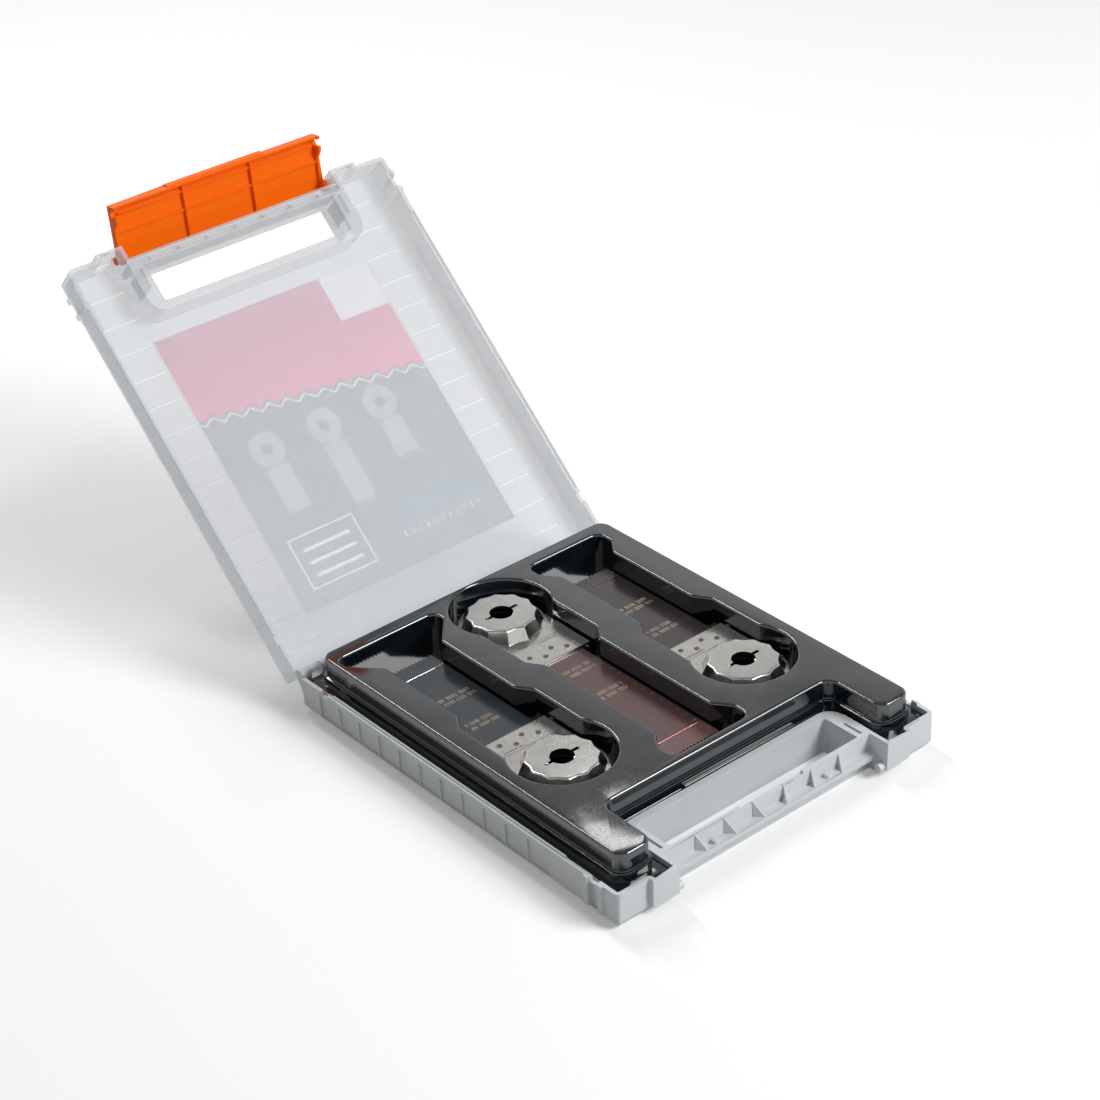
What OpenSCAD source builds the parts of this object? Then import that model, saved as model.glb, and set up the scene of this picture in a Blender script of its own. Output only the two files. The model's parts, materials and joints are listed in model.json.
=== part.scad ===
// Hinged storage case for six oscillating-tool saw blades, shown open.
// The hinge runs along X at the rear, the prongs and the grip are at the front (-Y), +Z is up.
// The origin is the middle of the base's underside.

/* [Case] */
// Width over the side walls
case_w = 165; // [163:1:200]
// Depth from the plain prong fronts to the rear wall
case_d = 195.6; // [195:0.2:230]
// Height of the base at its rim
base_h = 16.2; // [15.6:0.1:22]
// Height of the lid at its rim
lid_h = 15.5; // [14.6:0.1:22]
// Gap between the two rims when the case is shut
rim_gap = 0.3; // [0.3:0.05:0.6]
// Thickness of the side, front and rear walls
wall = 1.8; // [1.6:0.1:2.2]
// Thickness of the base's floor and of the lid's panel
skin = 1.8; // [1.5:0.1:2.2]
// Radius of the upright outer corners
corner_r = 2.5; // [1:0.1:4]
// Height of the bevel along the outer face's edge
bevel_h = 3.2; // [1.5:0.1:4]
// Width of the bevel along the outer face's edge
bevel_w = 2.6; // [1.2:0.1:2.8]
// How far a wall leans in between its rim and the bevel
lean = 0.4; // [0.2:0.1:0.5]

/* [Prongs and grip] */
// Half of the gap between the prongs
notch_half = 54.2; // [52:0.1:56]
// Width of the pad on a prong's front
pad_w = 13; // [10:0.1:20]
// How far a pad stands out of the prong's front
pad_out = 2.2; // [1:0.1:4]
// Height of the pads' lower edge above the shell's outer face
pad_low = 3.2; // [2:0.1:4]
// Thickness of the pads' lower wall
pad_floor = 1.3; // [0.8:0.1:1.4]
// Radius of the pads' lower corner
pad_r = 2; // [0.5:0.1:3]
// Width of the grip opening
grip_w = 98; // [84:1:99]
// Depth of the grip opening
grip_d = 17.9; // [12:0.1:18]
// Distance from the plain prong fronts to the grip opening
grip_back = 9.3; // [9:0.1:10]
// Radius of the grip opening's rear corners
grip_r = 1.5; // [0.5:0.5:6]
// Thickness of the wall behind the grip opening
band_t = 3.8; // [3:0.1:5]
// Radius of the corners where that wall meets the prongs
band_r = 7; // [3:0.5:9]
// Length of the slit in the web at each end of the grip
slit_l = 9.3; // [5:0.1:11]
// Width of the slit
slit_w = 1.1; // [0.8:0.1:1.6]
// Distance from the grip opening's side to the slit
slit_in = 2.4; // [1.6:0.1:2.6]
// Distance from the grip opening's front to the slit's front end
slit_start = 0.8; // [0.5:0.1:2]

/* [Handle bars] */
// Thickness of the base's handle wall
handle_t = 1.6; // [1.2:0.1:2]
// How far the lip stands out of the handle wall
lip_out = 3.9; // [3:0.1:4]
// Height of the lip's underside
lip_z = 6.5; // [5:0.1:8]
// Thickness of the lip
lip_t = 2.4; // [1.4:0.1:3]
// Width of the lowered middle of the handle wall
dip_w = 32.5; // [20:0.5:40]
// Depth of the lowered middle
dip_d = 1.2; // [0.6:0.1:2]
// How far the lowered middle lies to the right
dip_x = 2; // [0:0.5:6]
// Thickness of a gusset
gusset_t = 0.9; // [0.7:0.1:1.4]
// Distance of the inner gussets from the middle
gusset_first = 8; // [6:0.5:10]
// Spacing of the gussets
gusset_pitch = 14.7; // [12:0.1:15]
// How far the left gussets lean sideways
lean_left = 3.4; // [0:0.2:4]
// How far the right gussets lean sideways
lean_right = 1.6; // [0:0.2:4]
// Radius of a pip on the lip
pip_r = 1.2; // [0.8:0.1:1.4]
// Height of a pip
pip_h = 1.5; // [0.8:0.1:2]
// Depth of the lid's handle bar
bar_d = 5.6; // [5:0.1:5.8]
// Thickness of that bar's walls
bar_t = 1.5; // [1.2:0.1:2]
// How far the bar's front wall stops short of the lid's rim
bar_short = 1.2; // [0.6:0.1:3]

/* [Wall cells] */
// Spacing of the ribs along the side walls
rib_pitch = 13.1; // [11:0.1:13.2]
// Number of ribs on each side
rib_count = 12; // [6:1:12]
// Width of a rib
rib_w = 1; // [0.8:0.1:1.6]
// Distance from the rear wall to the last rib
rib_rear = 12.7; // [12:0.1:16]
// Depth of the cells between the ribs
cell_d = 0.8; // [0.3:0.05:0.9]
// Height of the plain band below the rim
rim_band = 2.4; // [1.8:0.1:4]
// Distance from the side wall to the near side of the cells on the outer face
cell_near = 8.5; // [5:0.1:10]
// Distance from the side wall to the far side of those cells
cell_far = 25.5; // [20:0.1:27]
// Width of the two stout ribs near the prong front
stout_w = 2.6; // [2:0.1:3]
// How far the stout ribs stand out
stout_out = 0.9; // [0.5:0.1:1.2]
// Distance from the plain prong front to the first stout rib
stout_first = 9.3; // [8:0.1:10]
// Spacing of the two stout ribs
stout_pitch = 7.9; // [7:0.1:9]
// Depth of the nicks in the rim
nick_d = 1.6; // [1:0.1:2]
// Width of the tongue on the base's side rims
tongue_w = 0.8; // [0.5:0.05:0.9]
// Height of that tongue
tongue_h = 0.8; // [0.5:0.1:1.2]
// Height of the locating tab on the right rim
tab_h = 1.3; // [0.8:0.1:2]
// Length of that tab
tab_l = 3; // [2:0.1:4]
// Thickness of that tab
tab_t = 1; // [0.7:0.05:1.1]
// Distance from the plain prong fronts to the tongue's front end
tongue_front = 29.8; // [26:0.2:40]
// Distance from the tongue's rear end to the rear wall
tongue_rear = 21.8; // [20:0.2:40]
// Room round the tongue and the tab in the lid
tongue_room = 0.4; // [0.3:0.05:0.5]
// Width of a nick in the rim
nick_w = 4.4; // [3:0.1:5]
// Distance from the rear wall to the rear nick
nick_rear = 17; // [15:0.5:19]

/* [Hinge] */
// Distance of the hinge line behind the rear wall
hinge_out = 0.7; // [0.5:0.05:0.9]
// Depth of the hinge line below the base's rim
hinge_down = 0.4; // [0.2:0.05:0.6]
// Distance from the side wall to the middle of a hinge
hinge_in = 7.9; // [7.9:0.1:20]
// Radius of a knuckle
knuckle_r = 2.7; // [2.4:0.1:2.9]
// Length of the lid's knuckle
lid_knuckle = 5; // [4:0.1:6]
// Length of each of the base's two knuckles beside it
base_knuckle = 4.4; // [3:0.1:4.6]
// Side gap between knuckles
knuckle_gap = 0.3; // [0.3:0.05:0.5]
// Gap round a knuckle
knuckle_room = 0.35; // [0.3:0.05:0.5]
// Height of the strut that carries a knuckle
strut_h = 8; // [5:0.5:9]
// Radius of a hinge pin
hinge_pin_r = 1; // [0.8:0.05:1.3]
// Radial running clearance of every pivot
pivot_play = 0.07; // [0.03:0.01:0.1]
// Angle that the lid opens to
lid_open = 136.5; // [95:0.5:140]

/* [Latch] */
// Distance of the latch pivot below the lid's face
pivot_down = 6.8; // [6:0.1:8]
// Distance of the pivot and the catch pins behind the plain prong fronts
pivot_back = 0.5; // [0.3:0.1:0.6]
// Radius of the latch's two pivot stubs
stub_r = 1.8; // [1.5:0.05:2]
// Radius of the boss round each stub
boss_r = 2.7; // [2.4:0.1:2.8]
// Side gap between the latch and the prongs
latch_gap = 0.7; // [0.4:0.05:1]
// Thickness of the latch plate
latch_t = 1.8; // [1.4:0.1:2.2]
// How far the shut latch stands before the plain prong fronts
latch_out = 3.2; // [2:0.1:4]
// Height of the closed latch's free edge above the ground
latch_low = 1.7; // [1:0.1:1.8]
// Radius of the base's catch pins
catch_r = 1.7; // [1.5:0.05:1.75]
// Height of the catch pins
catch_z = 4.7; // [4.6:0.1:5.5]
// How far a catch pin stands out of its prong
catch_l = 3; // [2.6:0.1:3.6]
// Gap round a catch pin in its hook
catch_room = 0.3; // [0.25:0.05:0.35]
// Width of the hook's mouth
mouth = 3.2; // [2.8:0.1:3.4]
// Thickness of the latch's end walls
latch_end = 1.6; // [1.2:0.1:2]
// Depth of the hooks
hook_d = 5.8; // [5.4:0.1:6.2]
// Height of the hooks above the catch pins
hook_up = 3.6; // [2.8:0.1:5]
// Depth of the end walls between the hooks and the bosses
end_web = 1.4; // [0.8:0.1:2]
// Depth of the cross ribs
latch_rib_d = 1.6; // [1:0.1:2]
// Depth of the long ribs
long_rib_d = 1; // [0.6:0.1:2]
// Depth of the flange along the free edge
flange_d = 3; // [1.5:0.1:3.2]
// Distance from the free edge to the lower long rib
long_rib_up = 3.6; // [2.5:0.1:5]
// Thickness of the stiffening ribs
latch_rib_t = 1; // [0.8:0.1:1.5]
// Distance of the cross ribs from the middle
latch_rib_x = 17.5; // [10:0.5:30]
// Half width of the pull tab on the free edge
pull_half = 25; // [15:0.5:35]
// How far the pull tab stands beyond the free edge
pull_out = 0.7; // [0.4:0.1:0.8]
// Angle that the latch opens to
latch_open = 48; // [30:1:55]

/* [Insert tray] */
// Thickness of the formed sheet
sheet = 1; // [0.8:0.05:1.2]
// Gap between the closed lid's panel and the deck
deck_gap = 3.6; // [2.5:0.1:5]
// Distance from the side walls to the deck's edge
deck_side = 6.9; // [6.5:0.1:8]
// Distance from the plain prong fronts to the deck's edge
deck_front = 6.1; // [5.5:0.1:8]
// Distance from the rear wall to the deck's edge
deck_rear = 6.5; // [6:0.1:8]
// Gap between the deck's edge and the prongs' inner walls
deck_prong = 3; // [2.6:0.1:4]
// Gap between the deck's edge and the wall behind the grip
deck_band = 3.8; // [3.2:0.1:5]
// Radius of the deck's corners
deck_r = 5; // [3:0.5:7]
// Width of the small ledge round the deck's foot
ledge_w = 1.2; // [0.6:0.1:1.4]
// Depth of that ledge below the deck
ledge_down = 8.3; // [5:0.1:10]
// Depth of the flange's top below the base's rim
flange_down = 1.7; // [1:0.1:2.5]
// Gap between the flange and the walls
flange_gap = 0.5; // [0.3:0.05:1]
// Gap between the flange and the seats below it
seat_gap = 0.3; // [0.3:0.05:0.5]
// Depth of the seats
seat_d = 4.4; // [3:0.1:4.6]
// Thickness of the seats
seat_t = 1.6; // [1:0.1:2.5]
// Width of the stiffening bead on the flange behind the grip
bead_w = 1.6; // [1:0.1:1.8]
// Height of that bead
bead_h = 1.6; // [0.8:0.1:2]
// Length of that bead
bead_l = 58; // [30:1:80]
// How far the bead's middle lies to the right
bead_x = 9; // [0:1:20]
// How far the tray lifts out
tray_travel = 40; // [20:1:60]

/* [Pockets] */
// Depth of the pockets below the deck
pocket_depth = 13.1; // [12.9:0.1:14]
// Gap between a mount's round rear end and its pocket
round_gap = 3.1; // [1.5:0.1:3.2]
// Gap between a mount's sides and its pocket
mount_gap = 1.1; // [0.6:0.1:1.5]
// Gap between a blade's sides and its pocket
blade_gap = 0.9; // [0.5:0.1:1.2]
// Gap between a mount's front end and the pocket's step
step_gap = 3; // [1.5:0.1:4]
// Length of the step from the mount's width to the blade's
step_l = 7.5; // [5:0.1:9]
// Room for a fingertip beyond the teeth, side pockets
finger_room = 12; // [9:0.5:12]
// Room for a fingertip beyond the teeth, centre pocket
centre_room = 9; // [7:0.5:12]
// Land between the left pocket's wide finger end and the centre pocket's round end
pocket_land = 1; // [0.8:0.1:3]
// Half width of the finger ends, other pockets
finger_half = 19.7; // [16:0.1:20]
// How far before the teeth the left pocket starts to widen
wide_start = 7; // [4:0.5:9]
// Length over which the left pocket widens
wide_l = 13; // [9:0.5:14]
// How far before the teeth the other pockets start to widen
shoulder_start = 4; // [2:0.5:9]
// Length over which the other pockets widen
shoulder_l = 7.8; // [5:0.1:10]
// Land between the left pocket and the deck's side edge
side_land = 3; // [2.4:0.1:3.4]
// Land between the side pockets and the deck's rear edge
rear_land = 7.1; // [5:0.1:8]
// Land between the centre pocket and the deck's front edge
front_land = 4; // [2.6:0.1:4]
// Radius of the pockets' corners
pocket_r = 3; // [1.5:0.1:4]

/* [Blades] */
// Hole to tooth tips, side blades
side_reach = 99; // [88:0.5:104]
// Hole to tooth tips, centre blades
centre_reach = 118; // [107:0.5:118]
// Width of a blade
blade_w = 26; // [20:0.5:26]
// Thickness of a blade
blade_t = 0.9; // [0.7:0.05:1]
// Width of the mount plate
plate_w = 35; // [32:0.5:35]
// Thickness of the mount plate
plate_t = 1.1; // [0.8:0.05:1.2]
// Radius of the mount plate's round rear end
plate_r = 18.5; // [18.2:0.1:18.8]
// Hole to the mount plate's front end, side blades
side_plate = 32; // [28:0.5:35]
// Hole to the mount plate's front end, centre blades
centre_plate = 35.5; // [30:0.5:36]
// Hole to the blade's hidden rear end
blade_root = 20; // [19:0.5:24]
// Height of the star cup above its plate
cup_h = 5.6; // [4.5:0.1:5.8]
// Radius of the star cup at its foot
cup_foot = 17.5; // [16.5:0.1:17.6]
// Radius of the star cup at its top
cup_top = 14.9; // [14:0.1:15.2]
// Width of the cup's sloping wall
cup_wall = 0.8; // [0.6:0.05:0.85]
// Thickness of the cup's top
cup_lid = 1.2; // [0.8:0.1:1.6]
// Depth of the flutes between the star's twelve points
flute_d = 1.3; // [0.4:0.1:1.5]
// Radius of the tool spindle's hole
hole_r = 5; // [4:0.1:6]
// Half length over the two keyways of that hole
key_half = 8.35; // [7:0.05:9]
// Width of a keyway
key_w = 1.6; // [1:0.1:2.4]
// Length of the welded tooth strip, side blades
strip_l = 9; // [6:0.5:11]
// Length of the welded tooth strip, centre blades
centre_strip = 11; // [6:0.5:13]
// Length of a tooth along the blade
tooth_l = 1.3; // [0.8:0.1:2]
// Spacing of the teeth
tooth_pitch = 1.85; // [1.4:0.05:3]
// Spacing of two blades stacked in one pocket
stack_pitch = 2.4; // [2.35:0.05:2.6]
// Gap between the pocket's floor and the lower blade
stack_gap = 0.3; // [0.3:0.05:0.6]
// How far a blade lifts out
blade_travel = 40; // [20:1:60]

/* [Label] */
// Width of the label
label_w = 112; // [90:1:113]
// Depth of the label
label_d = 134; // [100:1:140]
// Distance from the case's middle to the label's middle, towards the hinge
label_y = 7; // [2:0.5:14]
// Thickness of the label
label_t = 0.2; // [0.15:0.05:0.3]
// Room round the label in its shallow seat
label_room = 0.3; // [0.1:0.05:0.5]

/* [Hidden] */

// Steps in a rounded corner of an outline
corner_steps = 5;
// Facets of a round pin or bore
round_fn = 48;
// Overlap of cuts and joined solids
eps = 0.01;

half_w = case_w / 2;
pad_half = notch_half + pad_w;
front_y = -case_d / 2;
rear_y = case_d / 2;
lid_top = base_h + rim_gap + lid_h;

grip_front_y = front_y + grip_back;
grip_rear_y = grip_front_y + grip_d;
band_y = grip_rear_y + band_t;
handle_front_y = grip_front_y - handle_t;
tongue_y0 = front_y + tongue_front;
tongue_y1 = rear_y - tongue_rear;
bar_front_y = grip_front_y - bar_d;

hinge_x = half_w - hinge_in;
hinge_y = rear_y + hinge_out;
hinge_z = base_h - hinge_down;
knuckle_step = (lid_knuckle + base_knuckle) / 2 + knuckle_gap;

pivot_y = front_y + pivot_back;
pivot_z = lid_top - pivot_down;
latch_half = notch_half - latch_gap;
latch_face_y = front_y - latch_out;
latch_inner_y = latch_face_y + latch_t;

deck_z = lid_top - skin - deck_gap;
ledge_z = deck_z - ledge_down;
flange_z = base_h - flange_down;
floor_z = deck_z - pocket_depth;
seat_z = flange_z - sheet - seat_gap;

deck_half = half_w - deck_side;
deck_rear_y = rear_y - deck_rear;
deck_notch_y = band_y + deck_band;
round_r = plate_r + round_gap;
finger_wide = (deck_half - side_land - round_r - pocket_land) / 2;
side_x = deck_half - side_land - finger_wide;
side_mount_y = deck_rear_y - rear_land - finger_room - side_reach;
centre_mount_y = deck_notch_y + front_land + centre_room + centre_reach;

// Each pocket: name, mount place, turn, reach, plate length, then its finger end's half width,
// how far before the teeth it starts to widen, the length over which it widens, the room beyond
// the teeth, and the length of the tooth strip
LEFT = ["left", [-side_x, side_mount_y], 0, side_reach, side_plate, finger_wide, wide_start, wide_l,
        finger_room, strip_l];
CENTRE = ["centre", [0, centre_mount_y], 180, centre_reach, centre_plate, finger_half,
          shoulder_start + finger_room - centre_room, shoulder_l, centre_room, centre_strip];
RIGHT = ["right", [side_x, side_mount_y], 0, side_reach, side_plate, finger_half,
         shoulder_start, shoulder_l, finger_room, strip_l];
POCKETS = [LEFT, CENTRE, RIGHT];
LEVELS = ["lower", "upper"];

GREY = [0.78, 0.8, 0.81];
MILKY = [0.9, 0.91, 0.92, 0.5];
ORANGE = [0.93, 0.4, 0.02];
BLACK = [0.06, 0.06, 0.07];
STEEL = [0.75, 0.75, 0.76];
CRIMSON = [0.75, 0.2, 0.4];
TINTS = [[0.2, 0.23, 0.27], [0.36, 0.2, 0.2], [0.27, 0.17, 0.2]];

// Outlines are lists of corners [x, y, radius], counter-clockwise.

function flat(p) = [p.x, p.y];
function unit(v) = v / norm(v);
function half_turn(a) = a > 180 ? a - 360 : a < -180 ? a + 360 : a;
function cross_2d(a, b) = a.x * b.y - a.y * b.x;

// The points of one rounded corner q between its neighbours p and s
function corner_points(p, q, s) =
    let (to_p = unit(flat(p) - flat(q)),
         to_s = unit(flat(s) - flat(q)),
         half = acos(to_p * to_s) / 2,
         middle = flat(q) + unit(to_p + to_s) * q[2] / sin(half),
         start = flat(q) + to_p * q[2] / tan(half) - middle,
         end = flat(q) + to_s * q[2] / tan(half) - middle,
         angle = atan2(start.y, start.x),
         sweep = half_turn(atan2(end.y, end.x) - angle))
    q[2] == 0 ? [flat(q)] :
    [for (i = [0 : corner_steps])
        middle + q[2] * [cos(angle + sweep * i / corner_steps), sin(angle + sweep * i / corner_steps)]];

// All points of an outline with its corners rounded
function rounded(corners) =
    let (n = len(corners))
    [for (i = [0 : n - 1]) each corner_points(corners[(i + n - 1) % n], corners[i], corners[(i + 1) % n])];

// An outline moved outwards by g, its round corners staying concentric
function grown(corners, g) =
    let (n = len(corners))
    [for (i = [0 : n - 1])
        let (q = corners[i],
             along_in = unit(flat(q) - flat(corners[(i + n - 1) % n])),
             along_out = unit(flat(corners[(i + 1) % n]) - flat(q)),
             out_a = [along_in.y, -along_in.x],
             out_b = [along_out.y, -along_out.x],
             shift = g * (out_a + out_b) / (1 + out_a * out_b),
             bend = cross_2d(along_in, along_out) > 0 ? g : -g)
        [q.x + shift.x, q.y + shift.y, q[2] == 0 ? 0 : max(0.1, q[2] + bend)]];

// The case's outline, with the gap between the prongs reaching back to notch_y
function case_corners(notch_y, notch_r) =
    [[-half_w, front_y, corner_r], [-pad_half, front_y, 0.5],
     [-pad_half, front_y - pad_out, 0.5], [-notch_half, front_y - pad_out, 0.5],
     [-notch_half, notch_y, notch_r], [notch_half, notch_y, notch_r],
     [notch_half, front_y - pad_out, 0.5], [pad_half, front_y - pad_out, 0.5],
     [pad_half, front_y, 0.5], [half_w, front_y, corner_r],
     [half_w, rear_y, corner_r], [-half_w, rear_y, corner_r]];

// The inside of the walls; band_r is the corner seen from inside
cavity_corners = grown(case_corners(band_y - wall, band_r - wall), -wall);

deck_corners =
    let (inner = notch_half + wall + deck_prong,
         front = front_y + deck_front,
         tip_r = min(deck_r, (deck_half - inner) / 2 - eps))
    [[-deck_half, front, tip_r], [-inner, front, tip_r],
     [-inner, deck_notch_y, deck_r], [inner, deck_notch_y, deck_r],
     [inner, front, tip_r], [deck_half, front, tip_r],
     [deck_half, deck_rear_y, deck_r], [-deck_half, deck_rear_y, deck_r]];

module prism(corners, z0, z1) {
    translate([0, 0, z0])
        linear_extrude(z1 - z0)
            polygon(rounded(corners));
}

module x_cylinder(r, x0, x1) {
    translate([x0, 0, 0])
        rotate([0, 90, 0])
            cylinder(h = x1 - x0, r = r, $fn = round_fn);
}

// Profile in Y and Z, drawn out along X
module x_prism(points, x0, x1) {
    translate([x0, 0, 0])
        rotate([90, 0, 90])
            linear_extrude(x1 - x0)
                polygon(points);
}

module mirrored_x() {
    children();
    mirror([1, 0, 0])
        children();
}

// Profile in X and Z, drawn out along Y
module y_prism(points, y0, y1) {
    translate([0, y1, 0])
        rotate([90, 0, 0])
            linear_extrude(y1 - y0)
                polygon(points);
}

// One side of a moulding's cross-section, from the rim down to the outer face
function wall_profile(face, inward, h) =
    [[face, h], [face + inward * lean, bevel_h], [face + inward * bevel_w, 0]];

function backwards(list) = [for (i = [len(list) - 1 : -1 : 0]) list[i]];

// The case's outline as a solid with leaning walls and a bevelled outer face
module leaning_body(h, notch_y) {
    sides = concat(wall_profile(-half_w, 1, h), backwards(wall_profile(half_w, -1, h)));
    ends = concat(wall_profile(front_y, 1, h), backwards(wall_profile(rear_y, -1, h)));
    pad_front = front_y - pad_out;
    intersection() {
        prism([[-half_w, front_y, corner_r], [-notch_half, front_y, 0],
               [-notch_half, notch_y, 0], [notch_half, notch_y, 0],
               [notch_half, front_y, 0], [half_w, front_y, corner_r],
               [half_w, rear_y, corner_r], [-half_w, rear_y, corner_r]], 0, h);
        y_prism(sides, front_y - 1, rear_y + 1);
        x_prism(ends, -half_w - 1, half_w + 1);
    }
    mirrored_x()
        intersection() {
            x_prism([[pad_front, h], [pad_front + lean, pad_low],
                     [front_y + wall, pad_low], [front_y + wall, h]], notch_half, pad_half);
            y_prism(rounded([[notch_half, pad_low, 0], [pad_half, pad_low, pad_r],
                             [pad_half, h, 0], [notch_half, h, 0]]), pad_front - 1, front_y + wall + 1);
        }
}

// Shallow cells between the ribs, on the right side wall and the outer face
module wall_cells(h) {
    cell = rib_pitch - rib_w;
    for (i = [1 : rib_count - 1])
        translate([0, rear_y - rib_rear - i * rib_pitch + rib_w / 2, 0]) {
            translate([half_w - lean - cell_d, 0, bevel_h])
                cube([2, cell, h - rim_band - bevel_h]);
            translate([half_w - cell_far, 0, -eps])
                cube([cell_far - cell_near, cell, cell_d + eps]);
        }
}

// The moulding that the base and the lid share: its outer face at z = 0 and its rim at z = h
module half_case(h, notch_y) {
    difference() {
        union() {
            leaning_body(h, notch_y);
            mirrored_x()
                for (i = [0, 1])
                    translate([half_w - 1, front_y + stout_first + i * stout_pitch - stout_w / 2, bevel_h])
                        cube([1 + stout_out, stout_w, h - bevel_h]);
        }
        difference() {
            prism(cavity_corners, skin, h + eps);
            mirrored_x()
                translate([notch_half, front_y - pad_out, 0])
                    cube([pad_w, pad_out + wall, pad_low + pad_floor]);
        }
        mirrored_x() {
            wall_cells(h);
            // Groove between the stout ribs, and the nicks in the rim above it and at the rear
            translate([half_w - lean - cell_d, front_y + stout_first + stout_w / 2, bevel_h])
                cube([3, stout_pitch - stout_w, h - rim_band - bevel_h]);
            for (y = [front_y + stout_first + stout_pitch / 2, rear_y - nick_rear])
                translate([half_w - wall - 1, y - nick_w / 2, h - nick_d])
                    cube([wall + 3, nick_w, nick_d + eps]);
            // Slit in the web beside the grip
            translate([grip_w / 2 + slit_in, grip_front_y + slit_start, -eps])
                cube([slit_w, slit_l, h + 1]);
        }
        grip_hole(h);
    }
}

module grip_hole(h) {
    half = grip_w / 2;
    prism([[-half, grip_front_y, 0], [half, grip_front_y, 0],
           [half, grip_rear_y, grip_r], [-half, grip_rear_y, grip_r]], -eps, h + 1);
}

// One knuckle with its strut, hanging down from the hinge line to a wall in front of it
module knuckle(x, length) {
    foot = -hinge_out - wall / 2;
    translate([0, hinge_y, 0]) {
        x_cylinder(knuckle_r, x - length / 2, x + length / 2);
        x_prism([[foot, 0], [0, 0], [knuckle_r * 0.7, -knuckle_r * 0.7], [foot, -strut_h]],
                x - length / 2, x + length / 2);
    }
}

module hinge_bore(x, length, r) {
    translate([0, hinge_y, 0])
        x_cylinder(r, x - length / 2 - eps, x + length / 2 + eps);
}

// Triangular gusset that crosses from the handle wall to the lip's edge
module gusset(x, lean_x) {
    run = lip_out;
    turn = atan2(lean_x, run);
    reach = norm([run, lean_x]) - gusset_t / 2;
    translate([x, handle_front_y, lip_z + lip_t - eps])
        rotate(turn)
            x_prism([[0.3, 0], [0.3, base_h - lip_z - lip_t], [-reach, 0]], -gusset_t / 2, gusset_t / 2);
}

module handle_lip() {
    translate([-notch_half - eps, handle_front_y - lip_out, lip_z])
        cube([2 * (notch_half + eps), lip_out + 0.5, lip_t]);
    for (i = [0 : 2]) {
        gusset(-gusset_first - i * gusset_pitch, lean_left);
        gusset(gusset_first + i * gusset_pitch, -lean_right);
    }
    for (i = [-1 : 1])
        translate([(2 * i + (i == 0 ? 0.5 : 0)) * gusset_pitch, handle_front_y - lip_out / 2,
                   lip_z + lip_t - eps])
            cylinder(h = pip_h, r = pip_r, $fn = round_fn);
}

// Seats under the tray's flange, along the side and rear walls
module tray_seats() {
    mirrored_x() {
        for (i = [-2 : 2])
            translate([half_w - wall - seat_d, i * case_d / 6 - seat_t / 2, skin - eps])
                cube([seat_d + 0.5, seat_t, seat_z - skin + eps]);
        for (x = [case_w / 6, case_w / 3])
            translate([x - seat_t / 2, rear_y - wall - seat_d, skin - eps])
                cube([seat_t, seat_d + 0.5, seat_z - skin + eps]);
        translate([(notch_half + half_w - wall) / 2, front_y + wall - 0.5, skin - eps])
            cube([seat_t, seat_d, seat_z - skin + eps]);
    }
}

module base_shell() {
    color(GREY)
        difference() {
            union() {
                difference() {
                    half_case(base_h, handle_front_y);
                    translate([dip_x - dip_w / 2, handle_front_y - 1, base_h - dip_d])
                        cube([dip_w, handle_t + 1.5, dip_d + 1]);
                    // Room for the lid's knuckles
                    mirrored_x()
                        translate([0, hinge_y, hinge_z])
                            x_cylinder(knuckle_r + knuckle_room,
                                       hinge_x - lid_knuckle / 2 - knuckle_gap,
                                       hinge_x + lid_knuckle / 2 + knuckle_gap);
                }
                handle_lip();
                tray_seats();
                mirrored_x() {
                    // Tongue along the side rim
                    translate([half_w - wall, tongue_y0, base_h - eps])
                        cube([tongue_w, tongue_y1 - tongue_y0, tongue_h + eps]);
                    // Catch pin for the latch's hook
                    translate([0, pivot_y, catch_z])
                        x_cylinder(catch_r, notch_half - catch_l, notch_half + 0.5);
                    for (side = [-1, 1])
                        translate([0, 0, hinge_z])
                            knuckle(hinge_x + side * knuckle_step, base_knuckle);
                }
                // Locating tab on the right rim
                translate([half_w - wall, front_y + stout_first - tab_l / 2, base_h - 1])
                    cube([tab_t, tab_l, tab_h + 1]);
            }
            mirrored_x()
                for (side = [-1, 1])
                    translate([0, 0, hinge_z])
                        hinge_bore(hinge_x + side * knuckle_step, base_knuckle, hinge_pin_r);
        }
}

// The lid is drawn shut, upside down in place, then swung about the hinge line.
module swung_lid() {
    translate([0, hinge_y, hinge_z])
        rotate([-lid_open, 0, 0])
            translate([0, -hinge_y, -hinge_z])
                children();
}

module from_lid_face() {
    translate([0, 0, lid_top])
        mirror([0, 0, 1])
            children();
}

// Ribbed channel under the lid's handle bar
module bar_channel() {
    length = notch_half + wall;
    difference() {
        translate([-length, bar_front_y + bar_t, skin])
            cube([2 * length, bar_d - 2 * bar_t, lid_h]);
        for (i = [-3 : 3])
            translate([i * gusset_pitch - bar_t / 2, bar_front_y, 0])
                cube([bar_t, bar_d, lid_h - bar_short]);
        mirrored_x()
            translate([notch_half, bar_front_y, 0])
                cube([wall + 1, bar_d, lid_h + 1]);
    }
    translate([-notch_half, bar_front_y - 1, lid_h - bar_short])
        cube([2 * notch_half, bar_t + 1 + eps, bar_short + 1]);
}

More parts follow.
